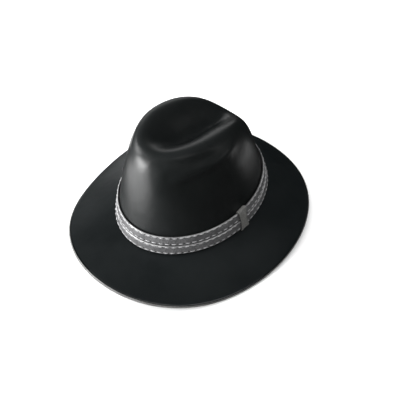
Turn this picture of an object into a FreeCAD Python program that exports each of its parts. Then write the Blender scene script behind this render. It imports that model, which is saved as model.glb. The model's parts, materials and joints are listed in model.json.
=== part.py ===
import FreeCAD, Part
import Sketcher
import math
import os

# A black leather fedora: creased crown, snap brim, lining, sweatband, and a
# loose hat band of two stitched straps with a keeper loop.
#
# Everything is drawn in the hat's own frame: the origin lies in the middle of
# the crown's foot, +Z is the crown's axis, the front is -Y and the wearer's
# left is +X. One common placement then leans the hat as it rests on a table.
# PHI is the angle round the oval, 0 at the front and 90 on the wearer's left.

doc = FreeCAD.newDocument("Fedora")
V = FreeCAD.Vector

SIZES = [
    ("crown_half_length", 106.0),
    ("crown_half_width", 85.0),
    ("crown_height", 124.5),
    ("crown_squareness", 6.5),
    ("crown_taper", 0.33),
    ("crown_back_fall", 0.10),
    ("crease_depth", 31.0),
    ("crease_half_width", 24.0),
    ("crease_front", -78.0),
    ("crease_full", 0.0),
    ("crease_shallow", 0.75),
    ("crease_back", 35.0),
    ("crease_end", 95.0),
    ("pinch_share", 0.10),
    ("pinch_front", 48.0),
    ("pinch_up", 92.0),
    ("pinch_spread_y", 28.0),
    ("pinch_spread_z", 26.0),
    ("crown_leather", 1.6),
    ("brim_width", 64.5),
    ("brim_slope_mean", 19.0),
    ("brim_slope_front", -13.4),
    ("brim_slope_sides", -4.65),
    ("brim_slope_snap", -5.7),
    ("brim_break", -2.0),
    ("brim_break_round", 3.0),
    ("brim_ledge", 2.3),
    ("brim_top_leather", 1.1),
    ("brim_stiffener", 0.8),
    ("brim_under_leather", 1.1),
    ("rest_lean", 3.2),
    ("lining_gap", 0.25),
    ("lining_cloth", 0.5),
    ("lining_foot", 3.0),
    ("lining_seam", 78.0),
    ("piping_radius", 0.7),
    ("sweatband_gap", 0.35),
    ("sweatband_leather", 1.2),
    ("sweatband_top", 36.0),
    ("reed_radius", 0.9),
    ("tape_width", 17.0),
    ("tape_height", 26.0),
    ("tape_thick", 0.7),
    ("tape_foot", 4.0),
    ("bow_foot", 10.0),
    ("bow_lean", 12.0),
    ("bow_loop_length", 9.0),
    ("bow_loop_height", 6.5),
    ("bow_loop_thick", 2.6),
    ("bow_knot", 4.0),
    ("band_foot", 0.8),
    ("band_clearance", 0.4),
    ("backing_leather", 1.3),
    ("backing_inset", 2.0),
    ("backing_gap", 2.0),
    ("strap_height", 12.4),
    ("strap_leather", 1.8),
    ("strap_gap", 1.1),
    ("strap_bevel", 0.5),
    ("stitch_radius", 0.42),
    ("stitch_length", 5.4),
    ("stitch_pitch", 8.0),
    ("stitch_inset", 2.0),
    ("stitch_seat", 0.15),
    ("seam_pitch", 5.0),
    ("seam_stitch", 3.2),
    ("seam_inset", 1.0),
    ("sewing_gap", 0.15),
    ("keeper_angle", 91.5),
    ("keeper_width", 13.5),
    ("keeper_play", 0.5),
    ("keeper_end_play", 1.0),
    ("keeper_inner_leg", 0.8),
    ("keeper_outer_leg", 1.5),
    ("keeper_end_leg", 1.1),
    ("keeper_travel", 2.5),
    ("keeper_bare", 8.0),
    ("keeper_stitch_drop", 11.5),
    ("keeper_stitch_rise", 2.0),
    ("keeper_stitch_side", 4.2),
]

sheet = doc.addObject("Spreadsheet::Sheet", "Sizes")
for row, (name, value) in enumerate(SIZES, start=1):
    sheet.set("A%d" % row, name)
    sheet.set("B%d" % row, str(value))
    sheet.setAlias("B%d" % row, name)
doc.recompute()
size = {name: float(sheet.get(name)) for name, _ in SIZES}

HALF_L = size["crown_half_length"]
HALF_W = size["crown_half_width"]
TALL = size["crown_height"]
ROUND = 64              # points on each closed curve round the hat
LOFT_ANGLES = (8, 16, 22, 27, 31, 34, 37, 39.5, 42, 44.5, 47, 50, 54, 58, 63, 68, 74, 80, 85)


# ---- the hat's geometry -------------------------------------------------

def smooth_step(low, high, value):
    share = min(max((value - low) / (high - low), 0.0), 1.0)
    return share * share * (3.0 - 2.0 * share)


def oval_normal(phi):
    """Outward horizontal direction of the oval at phi (radians)."""
    return V(HALF_L * math.sin(phi), -HALF_W * math.cos(phi), 0).normalize()


def wall(phi, height, off=0.0):
    """Point of the crown's straight lower wall, off millimetres outside it."""
    share = 1.0 - size["crown_taper"] * height / TALL
    foot = V(HALF_W * share * math.sin(phi), -HALF_L * share * math.cos(phi), height)
    return foot + oval_normal(phi) * off


def crown_surface(phi, climb):
    """Outer crown: climb 0 at the foot's level, 90 degrees in the middle of the tip."""
    power = size["crown_squareness"]
    rise, run = math.sin(math.radians(climb)), math.cos(math.radians(climb))
    norm = (rise ** power + run ** power) ** (1.0 / power)
    rise, run = rise / norm, run / norm
    share = (1.0 - size["crown_taper"] * rise) * run
    x = HALF_W * share * math.sin(phi)
    y = -HALF_L * share * math.cos(phi)
    z = TALL * rise * (1.0 - size["crown_back_fall"] * y / HALF_L * rise * rise)
    along = (y + size["pinch_front"]) / size["pinch_spread_y"]
    upward = (z - size["pinch_up"]) / size["pinch_spread_z"]
    x *= 1.0 - size["pinch_share"] * math.exp(-along * along - upward * upward)
    depth = size["crease_depth"] * smooth_step(size["crease_front"], size["crease_full"], y)
    depth *= 1.0 - size["crease_shallow"] * smooth_step(size["crease_back"], size["crease_end"], y)
    depth *= smooth_step(0.5, 0.9, rise)
    z -= depth * math.exp(-(x / size["crease_half_width"]) ** 2)
    return V(x, y, z)


def crown_inside(phi, climb, depth):
    """Point depth millimetres under the crown's outer surface."""
    step = 0.01
    here = crown_surface(phi, climb)
    round_way = crown_surface(phi + step, climb) - crown_surface(phi - step, climb)
    up_way = crown_surface(phi, climb + 0.5) - crown_surface(phi, climb - 0.5)
    normal = round_way.cross(up_way).normalize()
    return here - normal * depth


def brim_slope(phi):
    return math.radians(size["brim_slope_mean"]
                        + size["brim_slope_front"] * math.cos(phi)
                        + size["brim_slope_sides"] * math.cos(2 * phi)
                        + size["brim_slope_snap"] * math.cos(3 * phi))


def brim(phi, out, depth=0.0):
    """Point of the brim, out millimetres of leather from the break, depth under the top."""
    foot = wall(phi, size["brim_break"])
    slope = brim_slope(phi)
    radius = size["brim_break_round"]
    bend = radius * (1.0 - math.exp(-out / radius)) if out > 0 else 0.0
    run = out * math.cos(slope) + (1.0 - math.cos(slope)) * bend if out > 0 else out
    fall = (out - bend) * math.sin(slope) if out > 0 else 0.0
    local = slope * (1.0 - math.exp(-out / radius)) if out > 0 else 0.0
    normal = oval_normal(phi)
    return foot + normal * (run - depth * math.sin(local)) - V(0, 0, fall + depth * math.cos(local))


def angles(count=ROUND):
    return [2.0 * math.pi * i / count for i in range(count)]


# ---- shape makers -------------------------------------------------------

def closed_wire(point_of):
    """Smooth closed wire through point_of(phi) for phi all round."""
    curve = Part.BSplineCurve()
    parameters = [i / float(ROUND) for i in range(ROUND + 1)]
    curve.interpolate(Points=[point_of(phi) for phi in angles()],
                      Parameters=parameters, PeriodicFlag=True)
    return Part.Wire([curve.toShape()])


def ring(*corners):
    """Closed ring whose section's corners are the functions given, in order."""
    edges = [closed_wire(corner).Edges[0] for corner in corners]
    faces = [Part.makeRuledSurface(edge, edges[i - 1]) for i, edge in enumerate(edges)]
    return sewn(faces)


def sewn(faces):
    """Solid closed by the given faces."""
    shell = Part.makeShell(faces)
    shell.sewShape()
    return positive(Part.Solid(Part.Shell(shell.Faces)))


def positive(shape):
    solid = shape if shape.ShapeType == "Solid" else Part.Solid(shape)
    if solid.Volume < 0:
        solid.reverse()
    return solid


def dome(foot_of, depth):
    """Solid filling the crown up to depth millimetres under its outside."""
    wires = [closed_wire(foot_of)]
    for climb in LOFT_ANGLES:
        wires.append(closed_wire(lambda phi, c=climb: crown_inside(phi, c, depth)))
    tip = crown_surface(0.0, 90.0) - V(0, 0, depth)
    wires.append(Part.Vertex(tip))
    return positive(Part.makeLoft(wires, True, True))


def sector(from_phi, to_phi, low, high):
    """Wedge-shaped block that covers the oval between two angles, for cutting."""
    reach = 2.0
    step = (to_phi - from_phi) / 4.0
    corners = [V(0, 0, low)]
    for i in range(5):
        phi = from_phi + i * step
        corners.append(V(reach * HALF_W * math.sin(phi), -reach * HALF_L * math.cos(phi), low))
    corners.append(corners[0])
    return Part.Face(Part.makePolygon(corners)).extrude(V(0, 0, high - low))


def stitches(seat_of, pitch, length, skip=lambda phi: False):
    """Row of thread stitches: short rods that follow seat_of(phi)."""
    dense = 720
    points = [seat_of(2.0 * math.pi * i / dense) for i in range(dense + 1)]
    travelled = [0.0]
    for before, after in zip(points, points[1:]):
        travelled.append(travelled[-1] + (after - before).Length)
    count = int(round(travelled[-1] / pitch))
    rods = []
    index = 0
    for number in range(count):
        target = travelled[-1] * (number + 0.5) / count
        while travelled[index + 1] < target:
            index += 1
        phi = 2.0 * math.pi * (index + 0.5) / dense
        if skip(phi):
            continue
        tangent = (points[index + 1] - points[index]).normalize()
        start = seat_of(phi) - tangent * (length / 2.0)
        rods.append(Part.makeCylinder(size["stitch_radius"], length, start, tangent))
    return Part.makeCompound(rods)


# ---- the hat's resting place --------------------------------------------

lean = FreeCAD.Rotation(V(1, 0, 0), size["rest_lean"])
brim_under = size["brim_top_leather"] + size["brim_stiffener"] + size["brim_under_leather"]
rim_points = []
for phi in angles(720):
    rim_points.append(lean.multVec(brim(phi, size["brim_width"], brim_under)))
    rim_points.append(lean.multVec(brim(phi, size["brim_width"])))
middle_y = (max(p.y for p in rim_points) + min(p.y for p in rim_points)) / 2.0
REST = FreeCAD.Placement(V(0, -middle_y, -min(p.z for p in rim_points)), lean)

kept = []


def feature(label, shape, place=None):
    """Sub-part whose shape is worked out from the sheet's sizes."""
    part = doc.addObject("Part::Feature", label)
    part.Label = label
    part.Shape = shape
    part.Placement = REST.multiply(place) if place else REST
    kept.append(part)
    return part


# ---- crown and brim -----------------------------------------------------

def crown_shell():
    foot = size["brim_break"]
    leather = size["crown_leather"]
    outer = dome(lambda phi: wall(phi, foot), 0.0)
    inner = dome(lambda phi: wall(phi, foot - 1.0, -leather), leather)
    feature("crown_shell", outer.cut(inner))


def brim_layer(label, top, bottom):
    rows = [-size["brim_ledge"], 0.0, 2.0, 5.0, 9.0, 16.0, 30.0, 47.0, size["brim_width"]]
    upper = [lambda phi, o=out: brim(phi, o, top) for out in rows]
    lower = [lambda phi, o=out: brim(phi, o, bottom) for out in reversed(rows)]
    feature(label, ring(*(upper + lower)))


def brim_layers():
    first = size["brim_top_leather"]
    second = first + size["brim_stiffener"]
    brim_layer("brim_top_leather", 0.0, first)
    brim_layer("brim_stiffener", first, second)
    brim_layer("brim_underside_leather", second, brim_under)


# ---- lining -------------------------------------------------------------

def lining():
    """Satin tip and side panel, and the piping over the seam between them."""
    outer = size["crown_leather"] + size["lining_gap"]
    inner = outer + size["lining_cloth"]
    foot = size["lining_foot"]
    seam = size["lining_seam"]
    whole = dome(lambda phi: wall(phi, foot, -outer), outer)
    whole = whole.cut(dome(lambda phi: wall(phi, foot - 1.0, -inner), inner))
    above = Part.makeBox(300, 300, 200, V(-150, -150, seam))
    feature("lining_side", whole.cut(above))
    feature("lining_tip", whole.common(above))
    piping_depth = inner + size["piping_radius"] + size["sewing_gap"]
    feature("lining_piping", cord_round(lambda phi: level_point(phi, seam, piping_depth),
                                        size["piping_radius"]))


def level_point(phi, height, depth):
    """Point under the crown's side wall at the given height."""
    low, high = 5.0, 45.0
    for _ in range(24):
        climb = (low + high) / 2.0
        if crown_inside(phi, climb, depth).z < height:
            low = climb
        else:
            high = climb
    return crown_inside(phi, climb, depth)


def cord_round(path_of, radius, sides=8):
    """Cord all along the closed path path_of(phi), its section a regular polygon."""
    def corner(turn):
        def point(phi):
            tangent = (path_of(phi + 0.01) - path_of(phi - 0.01)).normalize()
            across = tangent.cross(V(0, 0, 1)).normalize()
            upward = across.cross(tangent)
            return path_of(phi) + across * (radius * math.cos(turn)) + upward * (radius * math.sin(turn))
        return point
    return ring(*[corner(2.0 * math.pi * i / sides) for i in range(sides)])


# ---- sweatband ----------------------------------------------------------

def sweatband_outside():
    return size["crown_leather"] + size["lining_gap"] + size["lining_cloth"] + size["sweatband_gap"]


def sweatband():
    outer = sweatband_outside()
    inner = outer + size["sweatband_leather"]
    break_height = size["brim_break"]
    top = size["sweatband_top"]
    feature("sweatband", ring(lambda phi: below_break(phi, brim_under, -outer),
                              lambda phi: wall(phi, break_height, -outer),
                              lambda phi: wall(phi, top, -outer),
                              lambda phi: wall(phi, top, -inner),
                              lambda phi: wall(phi, break_height, -inner),
                              lambda phi: below_break(phi, brim_under, -inner)))
    reed_drop = brim_under + size["reed_radius"] + size["sewing_gap"]
    middle = -(outer + inner) / 2.0
    feature("sweatband_reed", cord_round(lambda phi: below_break(phi, reed_drop, middle),
                                         size["reed_radius"]))
    seam_drop = brim_under - size["seam_inset"]
    feature("sweatband_stitches",
            stitches(lambda phi: below_break(phi, seam_drop, -inner),
                     size["seam_pitch"], size["seam_stitch"]))


def below_break(phi, drop, off):
    """Point straight under the brim's break."""
    return wall(phi, size["brim_break"], off) - V(0, 0, drop)


def sweatband_tape():
    """Leather tape over the sweatband's back seam, inside the head opening."""
    outer = sweatband_outside() + size["sweatband_leather"] + size["sewing_gap"]
    inner = outer + size["tape_thick"]
    foot = size["brim_break"] + size["tape_foot"]
    top = foot + size["tape_height"]
    whole = ring(lambda phi: wall(phi, foot, -outer),
                 lambda phi: wall(phi, top, -outer),
                 lambda phi: wall(phi, top, -inner),
                 lambda phi: wall(phi, foot, -inner))
    half = size["tape_width"] / 2.0 / HALF_W
    wedge = sector(math.pi - half, math.pi + half, foot - 5, top + 5)
    feature("sweatband_tape", whole.common(wedge))


def sweatband_bow():
    """Small ribbon bow at the back of the sweatband: two flared loops and a knot."""
    loops = []
    for side in (-1, 1):
        loop = doc.addObject("Part::Wedge", "bow_loop")
        spans = (("X", "Sizes.bow_loop_thick / 4"), ("X2", "Sizes.bow_loop_thick / 2"),
                 ("Z", "Sizes.bow_knot / 3"), ("Z2", "Sizes.bow_loop_height / 2"))
        for axis, half in spans:
            loop.setExpression(axis + "min", "-%s" % half)
            loop.setExpression(axis + "max", half)
        loop.setExpression("Ymin", "0 mm")
        loop.setExpression("Ymax", "Sizes.bow_loop_length")
        sideways = FreeCAD.Rotation(V(0, 0, 1), -90 * side)
        droop = FreeCAD.Rotation(V(0, 1, 0), size["bow_lean"] * side)
        loop.Placement = FreeCAD.Placement(V(0, 0, 0), droop.multiply(sideways))
        loops.append(loop)
    knot = doc.addObject("Part::Box", "bow_knot")
    for side in ("Length", "Width", "Height"):
        knot.setExpression(side, "Sizes.bow_knot")
    half = size["bow_knot"] / 2.0
    knot.Placement = FreeCAD.Placement(V(-half, -half, -half), FreeCAD.Rotation())
    bow = doc.addObject("Part::MultiFuse", "sweatband_bow")
    bow.Label = "sweatband_bow"
    bow.Shapes = loops + [knot]
    depth = sweatband_outside() + size["sweatband_leather"] + size["tape_thick"]
    depth += half + 2.0 * size["sewing_gap"]
    seat = wall(math.pi, size["brim_break"] + size["bow_foot"], -depth)
    wall_lean = math.degrees(math.atan(size["crown_taper"] * HALF_L / TALL))
    bow.Placement = REST.multiply(FreeCAD.Placement(seat, FreeCAD.Rotation(V(1, 0, 0), wall_lean)))
    kept.append(bow)


# ---- hat band -----------------------------------------------------------

def strap_inside():
    return size["band_clearance"] + size["backing_leather"]


def strap_levels():
    """Lower and upper edge heights of the two straps, the lower one first."""
    foot = size["band_foot"]
    step = size["strap_height"] + size["strap_gap"]
    return [(foot, foot + size["strap_height"]),
            (foot + step, foot + step + size["strap_height"])]


KEEPER_PHI = math.radians(size["keeper_angle"])


def band_backing():
    """Backing strip under both straps, left out where the keeper passes behind."""
    inner = size["band_clearance"]
    outer = strap_inside()
    low = strap_levels()[0][0] + size["backing_inset"]
    high = strap_levels()[1][1] - size["backing_inset"]
    whole = ring(lambda phi: wall(phi, low, inner),
                 lambda phi: wall(phi, high, inner),
                 lambda phi: wall(phi, high, outer),
                 lambda phi: wall(phi, low, outer))
    travel = math.radians(size["keeper_travel"]) * HALF_L * HALF_L / HALF_W
    half = (size["keeper_width"] / 2.0 + travel + size["backing_gap"]) / HALF_L
    gap = sector(KEEPER_PHI - half, KEEPER_PHI + half, low - 5, high + 5)
    feature("band_backing", whole.cut(gap))


def straps():
    inner = strap_inside()
    outer = inner + size["strap_leather"]
    edge = size["strap_bevel"]
    for name, (low, high) in zip(("lower_strap", "upper_strap"), strap_levels()):
        feature(name, ring(lambda phi: wall(phi, low, inner),
                           lambda phi: wall(phi, high, inner),
                           lambda phi: wall(phi, high, outer - edge),
                           lambda phi: wall(phi, high - edge, outer),
                           lambda phi: wall(phi, low + edge, outer),
                           lambda phi: wall(phi, low, outer - edge)))
        rows = (("bottom", low + size["stitch_inset"]), ("top", high - size["stitch_inset"]))
        for row, height in rows:
            feature("%s_%s_stitches" % (name, row),
                    stitches(lambda phi: wall(phi, height, outer - size["stitch_seat"]),
                             size["stitch_pitch"], size["stitch_length"], near_keeper))


def near_keeper(phi):
    half = (size["keeper_width"] / 2.0 + size["keeper_bare"]) / HALF_L
    return abs(phi - KEEPER_PHI) < half


# ---- keeper -------------------------------------------------------------

def keeper_frame():
    """Placement with x out of the band, y up its face and z along it."""
    low = strap_levels()[0][0]
    high = strap_levels()[1][1]
    mid = (low + high) / 2.0
    here = wall(KEEPER_PHI, mid, strap_inside())
    up = (wall(KEEPER_PHI, high) - wall(KEEPER_PHI, low)).normalize()
    along = V(HALF_W * math.cos(KEEPER_PHI), HALF_L * math.sin(KEEPER_PHI), 0).normalize() * -1
    out = up.cross(along).normalize()
    return FreeCAD.Placement(here, FreeCAD.Rotation(out, up, along, "XYZ"))


def rectangle(sketch, left, bottom, right, top):
    """Closed rectangle with its four sides bound to the sheet's expressions."""
    corners = [V(-5, -5, 0), V(5, -5, 0), V(5, 5, 0), V(-5, 5, 0)]
    first = sketch.GeometryCount
    for i in range(4):
        sketch.addGeometry(Part.LineSegment(corners[i], corners[(i + 1) % 4]), False)
    for i in range(4):
        sketch.addConstraint(Sketcher.Constraint("Coincident", first + i, 2, first + (i + 1) % 4, 1))
    for i, way in enumerate(("Horizontal", "Vertical", "Horizontal", "Vertical")):
        sketch.addConstraint(Sketcher.Constraint(way, first + i))
    sides = (("DistanceX", first, 1, left), ("DistanceY", first, 1, bottom),
             ("DistanceX", first + 2, 1, right), ("DistanceY", first + 2, 1, top))
    for kind, line, point, expression in sides:
        number = sketch.addConstraint(Sketcher.Constraint(kind, line, point, 1.0))
        sketch.setExpression("Constraints[%d]" % number, expression)


def keeper():
    body = doc.addObject("PartDesign::Body", "keeper_loop")
    body.Label = "keeper_loop"
    plane = [f for f in body.Origin.OriginFeatures if f.Role == "XY_Plane"][0]
    sketch = body.newObject("Sketcher::SketchObject", "keeper_section")
    sketch.AttachmentSupport = [(plane, "")]
    sketch.MapMode = "FlatFace"
    slot_half = "(Sizes.strap_height + Sizes.strap_gap / 2 + Sizes.keeper_end_play)"
    play, inner = "Sizes.keeper_play", "Sizes.keeper_inner_leg"
    outer, end = "Sizes.keeper_outer_leg", "Sizes.keeper_end_leg"
    rectangle(sketch, "-%s - %s" % (play, inner), "-%s - %s" % (slot_half, end),
              "Sizes.strap_leather + %s + %s" % (play, outer), "%s + %s" % (slot_half, end))
    rectangle(sketch, "-%s" % play, "-%s" % slot_half,
              "Sizes.strap_leather + %s" % play, slot_half)
    doc.recompute()
    pad = body.newObject("PartDesign::Pad", "keeper_pad")
    pad.Profile = sketch
    pad.setExpression("Length", "Sizes.keeper_width")
    pad.Midplane = True
    doc.recompute()
    body.Placement = REST.multiply(keeper_frame())
    kept.append(body)

    face = size["strap_leather"] + size["keeper_play"] + size["keeper_outer_leg"]
    length = size["seam_stitch"] / 2.0
    rods = []
    for side in (-1, 1):
        for place in (-1, 1):
            middle = size["keeper_stitch_rise"] * place - size["keeper_stitch_drop"]
            start = V(face, middle - length / 2.0, size["keeper_stitch_side"] * side)
            rods.append(Part.makeCylinder(size["stitch_radius"], length, start, V(0, 1, 0)))
    feature("keeper_stitches", Part.makeCompound(rods), keeper_frame())


def report_axes():
    """Print the joint axes in the resting frame, for the assembly record."""
    axis = REST.Rotation.multVec(V(0, 0, 1))
    here = wall(KEEPER_PHI, size["band_foot"] + size["strap_height"], strap_inside())
    share = 1.0 - size["crown_taper"] * here.z / TALL
    speed = math.hypot(HALF_W * math.cos(KEEPER_PHI), HALF_L * math.sin(KEEPER_PHI)) * share
    radius = speed ** 3 / (HALF_L * HALF_W * share * share) + strap_inside()
    centre = REST.multVec(here - oval_normal(KEEPER_PHI) * radius)
    print("crown axis", [round(c, 6) for c in axis])
    print("keeper pivot mm", [round(c, 3) for c in centre], "radius", round(radius, 2))
    print("rest placement", REST)


crown_shell()
brim_layers()
lining()
sweatband()
sweatband_tape()
sweatband_bow()
band_backing()
straps()
keeper()
doc.recompute()
report_axes()

for item in doc.Objects:
    if "Invalid" in item.State or "Error" in item.State:
        raise RuntimeError("%s failed: %s" % (item.Label, item.State))
for item in kept:
    if item.Shape.isNull() or not item.Shape.isValid():
        raise RuntimeError("%s has no valid shape" % item.Label)

os.makedirs("parts", exist_ok=True)
for item in kept:
    item.Shape.exportStep("parts/%s.step" % item.Label)
    print("%-30s solids %3d  volume %10.1f mm3" % (item.Label, len(item.Shape.Solids), item.Shape.Volume))
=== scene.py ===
import json
import math

import bpy
import bmesh
import numpy as np
from mathutils import Matrix, Vector


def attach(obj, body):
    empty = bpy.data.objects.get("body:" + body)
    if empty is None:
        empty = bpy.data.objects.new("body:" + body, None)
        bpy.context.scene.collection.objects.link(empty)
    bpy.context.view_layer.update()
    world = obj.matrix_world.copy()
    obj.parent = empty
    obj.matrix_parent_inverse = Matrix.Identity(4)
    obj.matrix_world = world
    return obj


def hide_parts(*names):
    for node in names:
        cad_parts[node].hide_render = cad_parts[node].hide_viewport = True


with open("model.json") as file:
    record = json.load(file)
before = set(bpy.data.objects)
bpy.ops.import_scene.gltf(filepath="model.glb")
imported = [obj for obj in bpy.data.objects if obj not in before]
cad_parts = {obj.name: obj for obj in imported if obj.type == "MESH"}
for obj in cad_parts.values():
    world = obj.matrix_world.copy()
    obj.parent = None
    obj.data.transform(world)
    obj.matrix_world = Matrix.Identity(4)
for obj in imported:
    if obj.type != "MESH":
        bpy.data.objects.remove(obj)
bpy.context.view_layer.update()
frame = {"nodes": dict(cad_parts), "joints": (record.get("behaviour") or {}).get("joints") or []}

# A black leather fedora. Shapes are worked out in the hat's own frame, in
# millimetres: origin in the middle of the crown's foot, +Z up the crown's axis,
# front at -Y, wearer's left at +X. phi runs round the oval, 0 at the front and
# 90 degrees on the wearer's left. to_row() puts a point in the row frame.

MM = 0.001
HALF_L, HALF_W = 106.0, 85.0            # half length and half width of the crown's foot
TALL, TAPER, SQUARE = 124.5, 0.33, 6.5  # crown height, narrowing, squareness of the shoulder
BACK_FALL = 0.10                        # share of its height that the crown loses towards the back
CREASE_DEPTH, CREASE_HALF = 31.0, 24.0  # depth, and distance to the side where a third of it is left
CREASE_START, CREASE_FULL = -78.0, 0.0  # Y where the crease starts and where it is at its deepest
CREASE_LOSS, LOSS_START, LOSS_END = 0.75, 35.0, 95.0    # share of its depth lost towards the back
CREASE_RIM, CREASE_FLOOR = 0.5, 0.9     # share of the crown's height over which the crease opens
PINCH, PINCH_Y, PINCH_Z = 0.10, -48.0, 92.0             # front pinch: share of the width, and place
PINCH_SPREAD_Y, PINCH_SPREAD_Z = 28.0, 26.0
CROWN_LEATHER = 1.6
RIDGE_HIGH, RIDGE_CLIMB, RIDGE_DRIFT = 1.9, 39.0, 0.07  # worn-in fold: millimetres, degrees of climb
VALLEY_DEEP, VALLEY_CLIMB, FOLD_SPREAD = 1.2, 45.0, 2.4
FOOT_GAP = 0.05                         # the crown's foot ends this far above the brim's break
BRIM_W, BRIM_BREAK, BREAK_ROUND, LEDGE = 64.5, -2.0, 3.0, 2.3   # LEDGE is the part under the crown
SLOPE = (19.0, -13.4, -4.65, -5.7)      # mean, front, side and snap terms, degrees
TOP_BEVEL, LAYER_BEVEL = 2.3, 0.3       # how far the cut edges are pared back
TOP_T, BOARD_T, UNDER_T = 1.1, 0.8, 1.1
BRIM_T = TOP_T + BOARD_T + UNDER_T
LINING_GAP, LINING_T, LINING_FOOT, LINING_SEAM = 0.25, 0.5, 3.0, 78.0
LINING_DEPTH, LINING_AIR = CROWN_LEATHER + LINING_GAP, 0.05
SWEAT_GAP, SWEAT_T, SWEAT_TOP = 0.35, 1.2, 36.0
SWEAT_OUT = CROWN_LEATHER + LINING_GAP + LINING_T + SWEAT_GAP
REED_R, PIPING_R = 0.9, 0.7
TAPE_W, TAPE_H, TAPE_T, TAPE_CORNER, TAPE_FOOT = 17.0, 26.0, 0.7, 2.2, 4.0
TAPE_OUT = SWEAT_OUT + SWEAT_T + 0.15
BOW_LOOP, BOW_TALL, BOW_WAIST, BOW_KNOT, BOW_FOOT = 9.0, 6.5, 2.4, 4.0, 10.0
BAND_FOOT, BAND_CLEAR, BACKING_T = 0.8, 0.4, 1.3
STRAP_H, STRAP_T, STRAP_GAP = 12.4, 1.8, 1.1
STRAP_IN = BAND_CLEAR + BACKING_T
STITCH_PITCH, STITCH_INSET, THREAD_R, THREAD_FLAT = 8.0, 1.9, 0.62, 0.8
STITCH_LONG, STITCH_ARCH, STITCH_DEEP = 5.4, 0.5, 0.35  # length, arch, and depth under the strap's face
SWEAT_PITCH, SWEAT_LONG, SWEAT_ARCH = 5.0, 3.2, -0.35   # the sweatband's stitches
EDGE_ROLL, LIP_HIGH, LIP_WIDE = 1.0, 0.20, 0.55         # the straps' rolled edges
GROOVE_DEEP, HOLE_DEEP, GROOVE_WIDE = 0.30, 0.85, 0.6   # the sunk lines that the stitches lie in
PAD_HIGH, PAD_WIDE, PUCKER_HIGH = 0.15, 2.2, 0.04       # the padded middle
RUB_HIGHLIGHT_AT, RUB_HIGHLIGHT_WIDE, SHADE_EDGE_WIDE = 0.55, 0.42, 0.35         # rubbed wear with a painted highlight on the upper edges, and painted shade at the very edges
KEEPER_PHI, KEEPER_W = math.radians(91.5), 13.5
KEEPER_PLAY, KEEPER_END, KEEPER_IN, KEEPER_OUT = 0.5, 1.0, 0.8, 1.5
KEEPER_CORNER, KEEPER_STEP, KEEPER_ROLL = 1.2, 0.6, 0.12    # corner radius, spacing, share of the width
KEEPER_STITCH = (1.1, 0.4, 0.35, 0.15)                  # half length, half width, thickness, arch
KEEPER_STITCH_UP, KEEPER_STITCH_SIDE, KEEPER_STITCH_GAP = -11.5, 4.2, 2.0
ROUND, RIM_ROUND, STRAP_ROUND = 320, 480, 1200          # points round the hat, by piece
RIM_CHECKS = 720                        # points of the rim looked at for its lowest place

LIFT = next(j for j in frame["joints"] if j["name"] == "band_lift")
LEAN = math.asin(-LIFT["axis"][1])       # the hat leans nose-down on the table


# ---- the hat's geometry -------------------------------------------------

def smooth(low, high, value):
    share = np.clip((value - low) / (high - low), 0.0, 1.0)
    return share * share * (3.0 - 2.0 * share)


def turns(count=ROUND):
    return np.linspace(0.0, 2.0 * math.pi, count, endpoint=False)


def stack(x, y, z):
    return np.stack(np.broadcast_arrays(x, y, z), axis=-1).astype(float)


def oval_normal(phi):
    x, y = HALF_L * np.sin(phi), -HALF_W * np.cos(phi)
    length = np.hypot(x, y)
    return stack(x / length, y / length, 0.0)


def wall(phi, height, off=0.0):
    share = 1.0 - TAPER * height / TALL
    foot = stack(HALF_W * share * np.sin(phi), -HALF_L * share * np.cos(phi), height)
    return foot + oval_normal(phi) * np.asarray(off)[..., None]


def crown_surface(phi, climb):
    """climb 0 at the foot's level, 90 degrees in the middle of the tip."""
    rise, run = np.sin(np.radians(climb)), np.cos(np.radians(climb))
    norm = (rise ** SQUARE + run ** SQUARE) ** (1.0 / SQUARE)
    rise, run = rise / norm, run / norm
    share = (1.0 - TAPER * rise) * run
    x = HALF_W * share * np.sin(phi)
    y = -HALF_L * share * np.cos(phi)
    z = TALL * rise * (1.0 - BACK_FALL * y / HALF_L * rise * rise)
    along = (y - PINCH_Y) / PINCH_SPREAD_Y
    upward = (z - PINCH_Z) / PINCH_SPREAD_Z
    x = x * (1.0 - PINCH * np.exp(-along ** 2 - upward ** 2))
    depth = CREASE_DEPTH * smooth(CREASE_START, CREASE_FULL, y)
    depth = depth * (1.0 - CREASE_LOSS * smooth(LOSS_START, LOSS_END, y))
    depth = depth * smooth(CREASE_RIM, CREASE_FLOOR, rise)
    z = z - depth * np.exp(-(x / CREASE_HALF) ** 2)
    return stack(x, y, z)


def crown_inside(phi, climb, depth):
    """Point of the crown, depth millimetres under its surface."""
    turn, lift = 0.01, 0.5               # steps either way for the normal, radians and degrees
    here = crown_surface(phi, climb)
    round_way = crown_surface(phi + turn, climb) - crown_surface(phi - turn, climb)
    up_way = crown_surface(phi, climb + lift) - crown_surface(phi, climb - lift)
    normal = np.cross(round_way, up_way)
    normal /= np.linalg.norm(normal, axis=-1, keepdims=True)
    return here - normal * depth


def brim_slope(phi):
    mean, front, side, snap = SLOPE
    return np.radians(mean + front * np.cos(phi) + side * np.cos(2 * phi) + snap * np.cos(3 * phi))


def brim(phi, out, depth=0.0):
    """Point of the brim, out millimetres of leather from the break, depth under its top."""
    foot = wall(phi, BRIM_BREAK)
    slope = brim_slope(phi)
    past = max(out, 0.0)
    bend = BREAK_ROUND * (1.0 - math.exp(-past / BREAK_ROUND))
    run = min(out, 0.0) + past * np.cos(slope) + (1.0 - np.cos(slope)) * bend
    fall = (past - bend) * np.sin(slope)
    local = slope * (1.0 - math.exp(-past / BREAK_ROUND))
    point = foot + oval_normal(phi) * (run - depth * np.sin(local))[..., None]
    return point - stack(0.0, 0.0, fall + depth * np.cos(local))


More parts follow.
